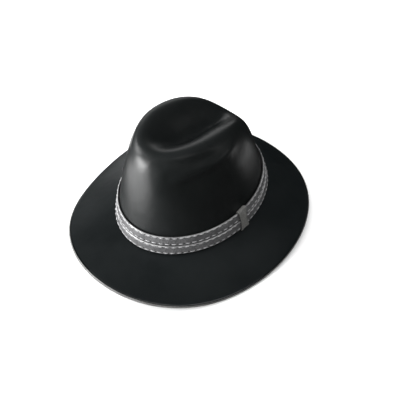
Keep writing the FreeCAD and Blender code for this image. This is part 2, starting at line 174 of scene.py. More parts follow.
def rest_matrix():
    """Placement of the hat on the table: lean, then middle over the origin, lowest rim at 0."""
    lean = Matrix.Rotation(LEAN, 4, "X")
    phi = turns(RIM_CHECKS)
    rim = np.concatenate([brim(phi, BRIM_W), brim(phi, BRIM_W, BRIM_T)])
    turned = rim @ np.array(lean.to_3x3()).T
    middle = (turned[:, 1].max() + turned[:, 1].min()) / 2.0
    return Matrix.Translation((0.0, -middle, -turned[:, 2].min())) @ lean


REST = rest_matrix()
REST_TURN = np.array(REST.to_3x3())
REST_SHIFT = np.array(REST.translation)


def to_row(points):
    return (np.asarray(points) @ REST_TURN.T + REST_SHIFT) * MM


# ---- mesh makers --------------------------------------------------------

def make_piece(name, verts, faces, material):
    """Mesh object from points in the hat's frame, in millimetres."""
    mesh = bpy.data.meshes.new(name)
    mesh.from_pydata([tuple(v) for v in to_row(verts)], [], faces)
    mesh.validate()
    work = bmesh.new()
    work.from_mesh(mesh)
    bmesh.ops.recalc_face_normals(work, faces=work.faces)
    work.to_mesh(mesh)
    work.free()
    mesh.polygons.foreach_set("use_smooth", [True] * len(mesh.polygons))
    piece = bpy.data.objects.new(name, mesh)
    bpy.context.scene.collection.objects.link(piece)
    piece.data.materials.append(material)
    return piece


def fit(piece, body, node):
    """Puts the piece on its body, in place of the CAD node, which it hides."""
    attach(piece, body)
    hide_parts(node)


def paint(piece, label, values):
    """Shade from 0 to 1 at each point of the piece, which a material reads by its label."""
    shade = piece.data.attributes.new(label, "FLOAT", "POINT")
    shade.data.foreach_set("value", np.clip(np.concatenate(values), 0.0, 1.0).astype(np.float32))


def gather(parts):
    """One array of points and one list of faces from several (points, faces)."""
    verts, faces, first = [], [], 0
    for points, part_faces in parts:
        verts.append(points)
        faces += [tuple(first + i for i in face) for face in part_faces]
        first += len(points)
    return np.concatenate(verts), faces


def grid_faces(rows, count, first=0, wrap_rows=False):
    faces = []
    last = rows if wrap_rows else rows - 1
    for r in range(last):
        a = first + r * count
        b = first + ((r + 1) % rows) * count
        for i in range(count):
            j = (i + 1) % count
            faces.append((a + i, a + j, b + j, b + i))
    return faces


def ring_piece(name, rows, material):
    """Closed ring: rows are the loops round the hat, in order about the section."""
    rows = np.array(rows)
    faces = grid_faces(rows.shape[0], rows.shape[1], wrap_rows=True)
    return make_piece(name, rows.reshape(-1, 3), faces, material)


def ring_on_hat(name, node, rows, material):
    fit(ring_piece(name, rows, material), "hat", node)


def dome_piece(name, outer, inner, outer_tip, inner_tip, material):
    """Cap with thickness: outer and inner rows from the foot up, each closed by its tip point."""
    rows, count = outer.shape[:2]
    faces = grid_faces(rows, count)
    start = rows * count
    faces += [tuple(reversed(f)) for f in grid_faces(rows, count, start)]
    tips = 2 * start
    for i in range(count):
        j = (i + 1) % count
        faces.append((i, start + i, start + j, j))
        faces.append((start - count + i, start - count + j, tips))
        faces.append((2 * start - count + j, 2 * start - count + i, tips + 1))
    verts = np.concatenate([outer.reshape(-1, 3), inner.reshape(-1, 3), [outer_tip], [inner_tip]])
    return make_piece(name, verts, faces, material)


def tube_rows(path, radius, sides):
    """Rows of a closed tube round the hat along path, an array of points."""
    tangent = np.roll(path, -1, axis=0) - np.roll(path, 1, axis=0)
    tangent /= np.linalg.norm(tangent, axis=1, keepdims=True)
    across = np.cross(tangent, (0.0, 0.0, 1.0))
    across /= np.linalg.norm(across, axis=1, keepdims=True)
    upward = np.cross(across, tangent)
    rows = []
    for k in range(sides):
        turn = 2.0 * math.pi * k / sides
        rows.append(path + across * (radius * math.cos(turn)) + upward * (radius * math.sin(turn)))
    return rows


# ---- materials ----------------------------------------------------------

def start_material(name):
    material = bpy.data.materials.new(name)
    material.use_nodes = True
    tree = material.node_tree
    shader = tree.nodes["Principled BSDF"]
    place = tree.nodes.new("ShaderNodeTexCoord").outputs["Object"]
    return material, tree, shader, place


def noise_node(tree, place, scale, detail=3.0, rough=0.55):
    node = tree.nodes.new("ShaderNodeTexNoise")
    node.inputs["Scale"].default_value = scale
    node.inputs["Detail"].default_value = detail
    node.inputs["Roughness"].default_value = rough
    tree.links.new(place, node.inputs["Vector"])
    return node.outputs["Fac"]


def voronoi_node(tree, place, scale):
    node = tree.nodes.new("ShaderNodeTexVoronoi")
    node.inputs["Scale"].default_value = scale
    tree.links.new(place, node.inputs["Vector"])
    return node.outputs["Distance"]


def painted(tree, label):
    node = tree.nodes.new("ShaderNodeAttribute")
    node.attribute_name = label
    return node.outputs["Fac"]


def ramp(tree, value, stops):
    """Colour from a value, by two or more (place, colour) stops."""
    node = tree.nodes.new("ShaderNodeValToRGB")
    while len(node.color_ramp.elements) < len(stops):
        node.color_ramp.elements.new(0.5)
    for element, (spot, colour) in zip(node.color_ramp.elements, stops):
        element.position = spot
        element.color = (*colour, 1.0)
    tree.links.new(value, node.inputs["Fac"])
    return node.outputs["Color"]


def span(tree, value, low, high, from_low=0.3, from_high=0.7):
    """The value from from_low to from_high, carried over to low to high."""
    node = tree.nodes.new("ShaderNodeMapRange")
    node.inputs["From Min"].default_value = from_low
    node.inputs["From Max"].default_value = from_high
    node.inputs["To Min"].default_value = low
    node.inputs["To Max"].default_value = high
    tree.links.new(value, node.inputs["Value"])
    return node.outputs["Result"]


def bump(tree, shader, heights):
    """Stacked bump nodes from (height, strength, distance in metres)."""
    normal = None
    for height, strength, distance in heights:
        node = tree.nodes.new("ShaderNodeBump")
        node.inputs["Strength"].default_value = strength
        node.inputs["Distance"].default_value = distance
        tree.links.new(height, node.inputs["Height"])
        if normal is not None:
            tree.links.new(normal, node.inputs["Normal"])
        normal = node.outputs["Normal"]
    tree.links.new(normal, shader.inputs["Normal"])


def mix_colour(tree, share, first, second):
    node = tree.nodes.new("ShaderNodeMix")
    node.data_type = "RGBA"
    for socket, source in (("Factor", share), ("A", first), ("B", second)):
        target = next(i for i in node.inputs
                      if i.name == socket and (socket == "Factor" or i.type == "RGBA"))
        if isinstance(source, tuple):
            target.default_value = (*source, 1.0)
        else:
            tree.links.new(source, target)
    return next(o for o in node.outputs if o.type == "RGBA")


def black_leather(name, dark, light, rough_low, rough_high, specular=0.5):
    material, tree, shader, place = start_material(name)
    clouds = noise_node(tree, place, 14.0, 4.0)
    waves = noise_node(tree, place, 34.0, 2.0)
    fine = noise_node(tree, place, 900.0, 4.0)
    pores = voronoi_node(tree, place, 1500.0)
    tree.links.new(ramp(tree, clouds, [(0.3, dark), (0.75, light)]), shader.inputs["Base Color"])
    tree.links.new(span(tree, clouds, rough_low, rough_high), shader.inputs["Roughness"])
    shader.inputs["Specular IOR Level"].default_value = specular
    bump(tree, shader, [(waves, 0.35, 0.0022), (fine, 0.12, 0.00006), (pores, 0.08, 0.00004)])
    return material


def grey_leather(name, dark, light, rough_low, rough_high):
    material, tree, shader, place = start_material(name)
    clouds = noise_node(tree, place, 60.0, 4.0)
    pebble = voronoi_node(tree, place, 620.0)
    fine = noise_node(tree, place, 1400.0, 3.0)
    base = ramp(tree, clouds, [(0.3, dark), (0.7, light)])
    grain = mix_colour(tree, span(tree, pebble, 0.0, 0.55, 0.25, 0.75), base, tuple(c * 0.5 for c in dark))
    speckle = mix_colour(tree, span(tree, fine, 0.0, 0.5, 0.35, 0.7), grain, dark)
    # lighter grey at the straps' rolled edges: rubbed wear, with a painted highlight that is stronger on
    # the upper edges
    pale = mix_colour(tree, painted(tree, "rub_and_highlight"), speckle, (0.42, 0.42, 0.42))
    # near-black painted shade in the stitch grooves and holes and along the cut edges
    shaded_colour = mix_colour(tree, painted(tree, "painted_shade"), pale, (0.006, 0.006, 0.006))
    tree.links.new(shaded_colour, shader.inputs["Base Color"])
    tree.links.new(span(tree, clouds, rough_low, rough_high), shader.inputs["Roughness"])
    shader.inputs["Specular IOR Level"].default_value = 0.7
    shader.inputs["Coat Weight"].default_value = 0.2
    shader.inputs["Coat Roughness"].default_value = 0.25
    bump(tree, shader, [(pebble, 0.9, 0.0003), (fine, 0.4, 0.0001)])
    return material


def raw_edge(name):
    """Cut leather edge: pale grey fibres in layers."""
    material, tree, shader, place = start_material(name)
    fibre = noise_node(tree, place, 700.0, 5.0, 0.7)
    patch = noise_node(tree, place, 45.0, 3.0)
    base = ramp(tree, fibre, [(0.3, (0.05, 0.05, 0.05)), (0.65, (0.19, 0.19, 0.185))])
    colour = mix_colour(tree, span(tree, patch, 0.0, 0.6), base, (0.035, 0.035, 0.035))
    tree.links.new(colour, shader.inputs["Base Color"])
    shader.inputs["Roughness"].default_value = 0.8
    bump(tree, shader, [(fibre, 0.6, 0.0003)])
    return material


def satin(name, dark, light):
    material, tree, shader, place = start_material(name)
    weave = tree.nodes.new("ShaderNodeTexWave")
    weave.inputs["Scale"].default_value = 900.0
    weave.inputs["Distortion"].default_value = 0.6
    tree.links.new(place, weave.inputs["Vector"])
    clouds = noise_node(tree, place, 25.0)
    tree.links.new(ramp(tree, clouds, [(0.3, dark), (0.7, light)]), shader.inputs["Base Color"])
    tree.links.new(span(tree, clouds, 0.28, 0.42), shader.inputs["Roughness"])
    shader.inputs["Sheen Weight"].default_value = 0.3
    bump(tree, shader, [(weave.outputs["Fac"], 0.25, 0.00006)])
    return material


def thread(name, dark, light):
    material, tree, shader, place = start_material(name)
    twist = noise_node(tree, place, 1800.0, 2.0)
    tree.links.new(ramp(tree, twist, [(0.35, dark), (0.65, light)]), shader.inputs["Base Color"])
    shader.inputs["Roughness"].default_value = 0.5
    bump(tree, shader, [(twist, 0.5, 0.00015)])
    return material


def plastic(name, colour):
    material, tree, shader, place = start_material(name)
    clouds = noise_node(tree, place, 300.0)
    lighter = tuple(min(1.0, c * 1.4) for c in colour)
    tree.links.new(ramp(tree, clouds, [(0.3, colour), (0.7, lighter)]), shader.inputs["Base Color"])
    tree.links.new(span(tree, clouds, 0.4, 0.55), shader.inputs["Roughness"])
    return material


CROWN_MAT = black_leather("crown_black_leather", (0.0048, 0.0058, 0.0058), (0.0082, 0.0092, 0.0094),
                          0.34, 0.42)
BRIM_MAT = black_leather("brim_black_leather", (0.0040, 0.0051, 0.0055), (0.0070, 0.0084, 0.0088),
                         0.36, 0.46, specular=0.28)
EDGE_MAT = raw_edge("raw_leather_edge")
SWEAT_MAT = black_leather("sweatband_leather", (0.02, 0.018, 0.016), (0.035, 0.031, 0.028), 0.5, 0.62)
SATIN_MAT = satin("lining_satin", (0.02, 0.02, 0.024), (0.04, 0.04, 0.046))
CORD_MAT = satin("piping_satin", (0.012, 0.012, 0.013), (0.025, 0.025, 0.027))
RIBBON_MAT = satin("bow_ribbon", (0.014, 0.014, 0.015), (0.03, 0.03, 0.032))
STRAP_MAT = grey_leather("strap_grey_leather", (0.06, 0.06, 0.062), (0.13, 0.13, 0.132), 0.28, 0.40)
KEEPER_MAT = grey_leather("keeper_grey_leather", (0.10, 0.10, 0.095), (0.17, 0.17, 0.162), 0.5, 0.65)
BACKING_MAT = black_leather("backing_leather", (0.01, 0.01, 0.01), (0.02, 0.02, 0.02), 0.6, 0.7)
LIGHT_THREAD_MAT = thread("grey_thread", (0.17, 0.17, 0.175), (0.38, 0.38, 0.388))
DARK_THREAD_MAT = thread("dark_thread", (0.05, 0.05, 0.05), (0.12, 0.12, 0.12))
REED_MAT = plastic("reed_plastic", (0.03, 0.03, 0.03))


# ---- crown and brim -----------------------------------------------------

def swell(degrees, start, full, fade, end):
    return smooth(start, full, degrees) * (1.0 - smooth(fade, end, degrees))


def worn_in(phi, climb):
    """Soft fold that handling has left along the wearer's-left shoulder, in millimetres outward."""
    degrees = np.degrees(phi)
    ridge = RIDGE_HIGH * swell(degrees, 34, 52, 92, 120)
    valley = VALLEY_DEEP * swell(degrees, 12, 32, 74, 96)
    crest = RIDGE_CLIMB + RIDGE_DRIFT * (degrees - 50.0)
    return (ridge * np.exp(-((climb - crest) / FOLD_SPREAD) ** 2)
            - valley * np.exp(-((climb - VALLEY_CLIMB) / FOLD_SPREAD) ** 2))


def crown():
    phi = turns()
    climbs = np.concatenate([np.linspace(0.0, 30.0, 16)[1:], np.linspace(30.0, 55.0, 34)[1:],
                             np.linspace(55.0, 89.0, 34)[1:]])
    foot = BRIM_BREAK + FOOT_GAP
    outer, inner = [wall(phi, foot)], [wall(phi, foot, -CROWN_LEATHER)]
    for climb in climbs:
        here = crown_surface(phi, climb)
        away = here - crown_inside(phi, climb, 1.0)
        outer.append(here + away * worn_in(phi, climb)[:, None])
        inner.append(here - away * CROWN_LEATHER)
    outer_tip = crown_surface(0.0, 90.0)
    inner_tip = outer_tip - (0.0, 0.0, CROWN_LEATHER)
    piece = dome_piece("crown", np.array(outer), np.array(inner), outer_tip, inner_tip, CROWN_MAT)
    fit(piece, "hat", "crown_shell")


def brim_layer(name, top, bottom, node, face_mat, bevel=LAYER_BEVEL):
    """One leather or board layer of the brim; bevel is how far its cut edge is pared back."""
    phi = turns(RIM_ROUND)
    outs = [-LEDGE, -1.0, 0.0, 1.0, 2.0, 3.5, 5.0, 7.0] + list(np.linspace(9.0, BRIM_W - 1.5, 24))
    pared = BRIM_W - 0.1
    upper = [brim(phi, out, top) for out in outs + [BRIM_W - bevel]]
    rim = [brim(phi, pared, (top + bottom) / 2.0), brim(phi, BRIM_W, bottom - 0.15)]
    lower = [brim(phi, out, bottom) for out in [pared] + outs[::-1]]
    piece = ring_piece(name, upper + rim + lower, face_mat)
    piece.data.materials.append(EDGE_MAT)
    first = (len(upper) - 1) * RIM_ROUND
    for polygon in piece.data.polygons:
        if first <= polygon.index < first + 3 * RIM_ROUND:
            polygon.material_index = 1
    fit(piece, "hat", node)


def brim_layers():
    second = TOP_T + BOARD_T
    brim_layer("brim_top", 0.0, TOP_T, "brim_top_leather", BRIM_MAT, TOP_BEVEL)
    brim_layer("brim_board", TOP_T, second, "brim_stiffener", EDGE_MAT)
    brim_layer("brim_underside", second, BRIM_T, "brim_underside_leather", BRIM_MAT)


# ---- hat band -----------------------------------------------------------

def strap_levels():
    step = STRAP_H + STRAP_GAP
    return [(BAND_FOOT, BAND_FOOT + STRAP_H), (BAND_FOOT + step, BAND_FOOT + step + STRAP_H)]


def arc_table(height, off):
    """Angles and the distance travelled along the oval at that height."""
    phi = np.linspace(0.0, 2.0 * math.pi, 1441)
    points = wall(phi, height, off)
    steps = np.linalg.norm(np.diff(points, axis=0), axis=1)
    return phi, np.concatenate([[0.0], np.cumsum(steps)])


def stitch_angles(height, off, pitch):
    """Middle angles of the stitches, and the pitch that closes the row evenly."""
    phi, travelled = arc_table(height, off)
    count = int(round(travelled[-1] / pitch))
    real = travelled[-1] / count
    return np.interp((np.arange(count) + 0.5) * real, travelled, phi), real


def strap(name, node, low, high):
    """Strap with rolled edges, sunk stitch lines and a softly padded middle."""
    phi = turns(STRAP_ROUND)
    middle, half = (low + high) / 2.0, STRAP_H / 2.0
    _, pitch = stitch_angles(middle, STRAP_IN + STRAP_T, STITCH_PITCH)
    table_phi, travelled = arc_table(middle, STRAP_IN + STRAP_T)
    along = np.interp(phi, table_phi, travelled)
    hole = np.clip(np.cos(2.0 * math.pi * along / pitch), 0.0, 1.0) ** 3
    wave = 0.12 * np.sin(along / 31.0 + low) + 0.08 * np.sin(along / 13.0 + 2.0 * low)
    rows = [wall(phi, middle - half + 0.5 + wave, STRAP_IN)]
    painted_shade, rub_and_highlight = [np.zeros_like(phi)], [np.zeros_like(phi)]
    for a in np.linspace(-half, half, 47):
        edge = half - abs(a)
        roll = math.sqrt(max(0.0, 1.0 - (1.0 - min(edge / EDGE_ROLL, 1.0)) ** 2))
        lip = LIP_HIGH * math.exp(-((edge - EDGE_ROLL) / LIP_WIDE) ** 2)
        groove = math.exp(-((edge - STITCH_INSET) / GROOVE_WIDE) ** 2)
        body = float(smooth(STITCH_INSET, STITCH_INSET + PAD_WIDE, edge))
        top = STRAP_T * (0.30 + 0.70 * roll) - 0.25 + lip + PAD_HIGH * body
        pucker = PUCKER_HIGH * body * np.cos(2.0 * math.pi * along / pitch)
        off = STRAP_IN + top - groove * (GROOVE_DEEP + HOLE_DEEP * hole) - pucker
        rows.append(wall(phi, middle + a * 0.985 + wave, off))
        # painted shade: darker along the stitch grooves, darkest at the stitch holes, and at the strap's
        # very edges
        painted_shade.append(groove * (0.35 + 0.65 * hole) + 0.8 * max(0.0, 1.0 - edge / SHADE_EDGE_WIDE))
        patches = 0.6 + 0.25 * np.sin(along / 17.0 + middle) + 0.15 * np.sin(along / 5.3)
        # rubbed wear just inside each edge, stronger on the upper edge as a painted highlight
        rub_and_highlight.append((0.9 if a > 0.0 else 0.35) * patches * math.exp(-((edge - RUB_HIGHLIGHT_AT) / RUB_HIGHLIGHT_WIDE) ** 2))
    rows.append(wall(phi, middle + half - 0.5 + wave, STRAP_IN))
    painted_shade.append(np.zeros_like(phi))
    rub_and_highlight.append(np.zeros_like(phi))
    piece = ring_piece(name, rows, STRAP_MAT)
    paint(piece, "painted_shade", painted_shade)
    paint(piece, "rub_and_highlight", rub_and_highlight)
    fit(piece, "band", node)


def capsule(sides=8, rings=10):
    """Unit stitch: a rod along x from -1 to 1 with rounded ends, radius 1 in y and z."""
    verts, faces = [], []
    for r in range(rings + 1):
        x = -math.cos(math.pi * r / rings)
        fat = max(1e-3, (1.0 - abs(x) ** 3)) ** 0.5
        for s in range(sides):
            turn = 2.0 * math.pi * s / sides
            verts.append((x, fat * math.cos(turn), fat * math.sin(turn)))
    for r in range(rings):
        for s in range(sides):
            a, b = r * sides + s, r * sides + (s + 1) % sides
            faces.append((a, b, b + sides, a + sides))
    faces.append(tuple(range(sides))[::-1])
    faces.append(tuple(range(rings * sides, (rings + 1) * sides)))
    return np.array(verts), faces


def stitch_row(name, node, body, material, height, off, pitch, length, sink):
    """Thread stitches round the oval, arched over the leather and sunk at both ends."""
    angles, _ = stitch_angles(height, off, pitch)
    unit, unit_faces = capsule()
    parts = []
    rng = np.random.default_rng(7)
    for phi in angles:
        wobble = rng.uniform(-1.0, 1.0, 4)
        here = wall(phi, height, off)
        side = wall(phi + 0.001, height, off) - wall(phi - 0.001, height, off)
        side /= np.linalg.norm(side)
        up = wall(phi, height + 1.0, off) - here
        up /= np.linalg.norm(up)
        out = np.cross(side, up)
        tilt = 0.06 * wobble[0]
        arch = (1.0 - unit[:, 0] ** 2)
        x = unit[:, 0] * length / 2.0 * (1.0 + 0.06 * wobble[1])
        y = unit[:, 1] * THREAD_R + x * tilt + 0.08 * wobble[2]
        z = unit[:, 2] * THREAD_R * THREAD_FLAT + arch * sink - sink * 0.75
        parts.append((here + x[:, None] * side + y[:, None] * up + z[:, None] * out, unit_faces))
    fit(make_piece(name, *gather(parts), material), body, node)


def hat_band():
    for name, (low, high) in zip(("lower_strap", "upper_strap"), strap_levels()):
        strap(name + "_leather", name, low, high)
        for row, height in (("bottom", low + STITCH_INSET), ("top", high - STITCH_INSET)):
            stitch_row("%s_%s_thread" % (name, row), "%s_%s_stitches" % (name, row),
                       "band", LIGHT_THREAD_MAT, height,
                       STRAP_IN + STRAP_T - STITCH_DEEP, STITCH_PITCH, STITCH_LONG, STITCH_ARCH)
    for slot in frame["nodes"]["band_backing"].material_slots:
        slot.material = BACKING_MAT


# ---- keeper -------------------------------------------------------------

def keeper_axes():
    low, high = strap_levels()[0][0], strap_levels()[1][1]
    middle = (low + high) / 2.0
    here = wall(KEEPER_PHI, middle, STRAP_IN)
    up = wall(KEEPER_PHI, high) - wall(KEEPER_PHI, low)
    up /= np.linalg.norm(up)
    along = np.array([HALF_W * math.cos(KEEPER_PHI), HALF_L * math.sin(KEEPER_PHI), 0.0])
    along /= -np.linalg.norm(along)
    out = np.cross(up, along)
    return here, out, up, along


def keeper_outline(tall):
    """Loop round the straps seen along it: points (out, up), evenly spread, corners rounded."""
    front = STRAP_T + KEEPER_PLAY + KEEPER_OUT / 2.0
    back = -KEEPER_PLAY - KEEPER_IN / 2.0
    corner = KEEPER_CORNER
    path = []
    for x, y, start in ((front - corner, tall - corner, 0), (back + corner, tall - corner, 90),
                        (back + corner, corner - tall, 180), (front - corner, corner - tall, 270)):
        for k in range(9):
            turn = math.radians(start + 90.0 * k / 8.0)
            path.append((x + corner * math.cos(turn), y + corner * math.sin(turn)))
    outline = []
    for (x0, y0), (x1, y1) in zip(path, path[1:] + path[:1]):
        steps = max(1, int(math.hypot(x1 - x0, y1 - y0) / KEEPER_STEP))
        for k in range(steps):
            outline.append((x0 + (x1 - x0) * k / steps, y0 + (y1 - y0) * k / steps))
    return np.array(outline)


def keeper_section():
    """Section of the loop's leather: (across from -1 to 1, face from 1 outside to -1 inside)."""
    bend = np.linspace(math.pi / 2.0, 0.0, 6)
    flat_part = np.linspace(-0.86, 0.86, 21)[1:-1]

    def rolled(edge, face, angles):
        return [(edge * (1.0 - KEEPER_ROLL * (1 - math.sin(t))), face * math.cos(t)) for t in angles]

    return (rolled(-1.0, 1.0, bend) + [(across, 1.0) for across in flat_part] + rolled(1.0, 1.0, bend[::-1])
            + rolled(1.0, -1.0, bend[1:]) + [(across, -1.0) for across in flat_part[::-1]]
            + rolled(-1.0, -1.0, bend[::-1][:-1]))


def keeper():
    """Leather loop wrapped round both straps, drawn in at its waist and flared at its corners."""
    here, out, up, along = keeper_axes()
    tall = STRAP_H + STRAP_GAP / 2.0 + KEEPER_END + 0.55
    outline = keeper_outline(tall)
    tangent = np.roll(outline, -1, axis=0) - np.roll(outline, 1, axis=0)
    tangent /= np.linalg.norm(tangent, axis=1, keepdims=True)
    normal = np.stack([tangent[:, 1], -tangent[:, 0]], axis=1)
    front = smooth(0.2, STRAP_T, outline[:, 0])
    thick = (KEEPER_IN + (KEEPER_OUT - KEEPER_IN) * front) / 2.0
    level = outline[:, 1] / tall
    waist = front * (1.0 - np.abs(level) ** 1.6)
    near = KEEPER_W / 2.0 * (1.0 - 0.16 * waist + 0.05 * front * smooth(0.7, 1.0, level))
    far = KEEPER_W / 2.0 * (0.93 - 0.13 * waist + 0.12 * front * smooth(0.2, 1.0, -level))
    rows, painted_shade = [], []
    for across, face in keeper_section():
        # painted shade along the keeper's two long edges
        painted_shade.append(np.full(len(outline), max(0.0, abs(across) - 0.90) / 0.10 * 0.8))
        puff = 0.0
        if face > 0:
            puff = front * (0.30 * (1.0 - across * across) * (1.0 - level ** 2)
                            + 0.30 * across * across * np.abs(level) ** 6
                            + 0.12 * np.sin(7.0 * level + 2.0 * across) * (1.0 - level ** 2))
        flat = outline + normal * (thick * face + puff)[:, None]
        flat[:, 1] += smooth(0.80, 1.0, level) * (0.5 - 0.9 * across)
        reach = np.where(across < 0, near, far) * across
        rows.append(here + flat[:, :1] * out + flat[:, 1:] * up + reach[:, None] * along)
    piece = ring_piece("keeper_wrap", rows, KEEPER_MAT)
    paint(piece, "painted_shade", painted_shade)
    fit(piece, "keeper", "keeper_loop")
    keeper_threads(here, out, up, along)


def keeper_threads(here, out, up, along):
    """Four short stitches that hold the keeper's fold, sunk in its face."""
    unit, unit_faces = capsule()
    length, width, thickness, arch = KEEPER_STITCH
    x, y = unit[:, 0] * length, unit[:, 1] * width
    z = unit[:, 2] * thickness + (1.0 - unit[:, 0] ** 2) * arch
    face = here + out * (STRAP_T + KEEPER_PLAY + KEEPER_OUT)
    parts = []
    for side in (-1, 1):
        for place in (-1, 1):
            spot = (face + up * (KEEPER_STITCH_GAP * place + KEEPER_STITCH_UP)
                    + along * (KEEPER_STITCH_SIDE * side))
            parts.append((spot + x[:, None] * up + y[:, None] * along + z[:, None] * out, unit_faces))
    piece = make_piece("keeper_threads", *gather(parts), DARK_THREAD_MAT)
    fit(piece, "keeper", "keeper_stitches")


# ---- inside of the hat --------------------------------------------------

def level_climb(phi, height, depth):
    """Climb at which the crown's inside, depth under the leather, is at that height."""
    low, high = np.full(phi.shape, 0.5), np.full(phi.shape, 50.0)
    for _ in range(30):
        middle = (low + high) / 2.0
        under = crown_inside(phi, middle, depth)[:, 2] < height
        low, high = np.where(under, middle, low), np.where(under, high, middle)
    return low


def cloth(name, node, rows, tips=None):
    """Lining piece from the climb and fold of each row, from the foot up, closed by its tips if any."""
    phi, outer, inner = turns(), [], []
    for climb, fold in rows:
        here = crown_inside(phi, climb, LINING_DEPTH)
        away = crown_inside(phi, climb, LINING_DEPTH + 1.0) - here
        outer.append(here + away * (LINING_AIR + fold)[:, None])
        inner.append(here + away * (LINING_T + LINING_AIR + fold)[:, None])
    outer, inner = np.array(outer), np.array(inner)
    if tips:
        piece = dome_piece(name, outer, inner, *tips, SATIN_MAT)
    else:
        piece = ring_piece(name, np.concatenate([outer, inner[::-1]]), SATIN_MAT)
    fit(piece, "hat", node)


def lining():
    """Side panel and top panel, with small puckers between their seams, and the cord between them."""
    phi, depth = turns(), LINING_DEPTH
    ease = (0.35 * (0.5 + 0.5 * np.sin(37 * phi + 1.5 * np.sin(3 * phi)))
            + 0.25 * (0.5 + 0.5 * np.sin(11 * phi)))
    rows = []
    for height in np.linspace(LINING_FOOT, LINING_SEAM, 26):
        share = (height - LINING_FOOT) / (LINING_SEAM - LINING_FOOT)
        rows.append((level_climb(phi, height, depth), ease * math.sin(math.pi * share) ** 0.7))
    cloth("lining_side_panel", "lining_side", rows)
    seam_climb = level_climb(phi, LINING_SEAM, depth)
    rows = []
    for share in np.linspace(0.0, 1.0, 46)[:-1]:
        climb = seam_climb + (90.0 - seam_climb) * (0.003 + share)
        rows.append((climb, 0.4 * ease * math.sin(math.pi * share) ** 0.5))
    tip = crown_surface(0.0, 90.0) - (0.0, 0.0, depth + LINING_AIR)
    cloth("lining_tip_panel", "lining_tip", rows,
          tips=(tip, tip - (0.0, 0.0, LINING_T)))
    cord_depth = depth + LINING_T + PIPING_R + 0.15
    path = crown_inside(phi, level_climb(phi, LINING_SEAM, cord_depth), cord_depth)
    ring_on_hat("seam_piping", "lining_piping", tube_rows(path, PIPING_R, 10), CORD_MAT)


def under_break(phi, drop, off):
    return wall(phi, BRIM_BREAK, off) - (0.0, 0.0, drop)


def sweatband():
    """Leather band turned in from the brim's underside, its top edge free and softly uneven."""
    phi = turns(RIM_ROUND)
    slack = 0.20 * np.sin(9 * phi + 0.8) + 0.12 * np.sin(23 * phi)
    foot = BRIM_BREAK - BRIM_T
    normal = oval_normal(phi)
    inner_rows, outer_rows = [], []
    for height in np.linspace(foot, SWEAT_TOP, 22):
        free = float(smooth(8.0, SWEAT_TOP, height))
        seam = math.exp(-((height - foot - 2.6) / 0.5) ** 2)
        body = 0.25 + np.abs(slack) * free
        edge = 0.35 * float(smooth(SWEAT_TOP - 1.5, SWEAT_TOP, height))
        base = wall(phi, height) if height > BRIM_BREAK else under_break(phi, BRIM_BREAK - height, 0.0)
        outer_rows.append(base - normal * (SWEAT_OUT + edge))
        inner_rows.append(base - normal * (SWEAT_OUT + SWEAT_T - edge - 0.3 * seam + body - 0.25)[:, None])
    ring_on_hat("sweatband_leather", "sweatband", outer_rows + inner_rows[::-1], SWEAT_MAT)
    reed = under_break(phi, BRIM_T + REED_R + 0.15, -(SWEAT_OUT + SWEAT_T / 2.0))
    ring_on_hat("sweatband_welt", "sweatband_reed", tube_rows(reed, REED_R, 12), REED_MAT)
    stitch_row("sweatband_thread", "sweatband_stitches", "hat", DARK_THREAD_MAT,
               BRIM_BREAK - BRIM_T + 1.0, -(SWEAT_OUT + SWEAT_T - 0.1), SWEAT_PITCH, SWEAT_LONG, SWEAT_ARCH)


def tape():
    """Leather tape over the sweatband's back seam."""
    half, steps = TAPE_W / 2.0, 33
    foot, top = BRIM_BREAK + TAPE_FOOT, BRIM_BREAK + TAPE_FOOT + TAPE_H
    across = np.linspace(-half, half, steps)
    levels = np.linspace(foot, top, 41)
    front, back = [], []
    for height in levels:
        end = min(height - foot, top - height)
        tuck = TAPE_CORNER - math.sqrt(max(0.0, TAPE_CORNER ** 2 - max(0.0, TAPE_CORNER - end) ** 2))
        x = across * (half - tuck) / half
        phi = math.pi + x / HALF_W
        rim = np.minimum(np.minimum(half - tuck - np.abs(x), end) / 0.5, 1.0)
        groove = np.exp(-((np.minimum(half - np.abs(across), end) - 1.6) / 0.35) ** 2)
        lift = TAPE_T * (0.35 + 0.65 * np.sqrt(np.clip(rim, 0.0, 1.0))) - 0.25 * groove
        back.append(wall(phi, height, -TAPE_OUT))
        front.append(wall(phi, height, -(TAPE_OUT + lift)))
    verts = np.concatenate([np.array(front).reshape(-1, 3), np.array(back).reshape(-1, 3)])
    total = len(levels) * steps
    faces = []
    for r in range(len(levels) - 1):
        for i in range(steps - 1):
            a = r * steps + i
            faces.append((a, a + 1, a + steps + 1, a + steps))
            faces.append((total + a, total + a + steps, total + a + steps + 1, total + a + 1))
    border = list(range(steps))
    border += [r * steps + steps - 1 for r in range(1, len(levels))]
    border += [(len(levels) - 1) * steps + i for i in range(steps - 2, -1, -1)]
    border += [r * steps for r in range(len(levels) - 2, 0, -1)]
    for a, b in zip(border, border[1:] + border[:1]):
        faces.append((a, total + a, total + b, b))
    fit(make_piece("seam_tape", verts, faces, SWEAT_MAT), "hat", "sweatband_tape")


def ribbon_strip(x, y, widths, thickness):
    """Points and faces of a closed ribbon strip along the path (x, y), standing widths wide in z."""
    path = np.stack([x, y], axis=1)
    tangent = np.gradient(path, axis=0)
    tangent /= np.linalg.norm(tangent, axis=1, keepdims=True)
    normal = np.stack([-tangent[:, 1], tangent[:, 0]], axis=1)
    rows = []
    for side in (1.0, -1.0):
        flat = path + normal * (side * thickness / 2.0)
        for w in np.linspace(-1.0, 1.0, 7) * side:
            rows.append(np.column_stack([flat[:, 0], flat[:, 1] - 0.25 * w * w, w * widths / 2.0]))
    count = len(path)
    faces = []
    for r in range(len(rows)):
        a, b = r * count, (r + 1) % len(rows) * count
        faces += [(a + i, a + i + 1, b + i + 1, b + i) for i in range(count - 1)]
    starts = [r * count for r in range(len(rows))]
    faces.append(tuple(starts))
    faces.append(tuple(start + count - 1 for start in reversed(starts)))
    return np.concatenate(rows), faces


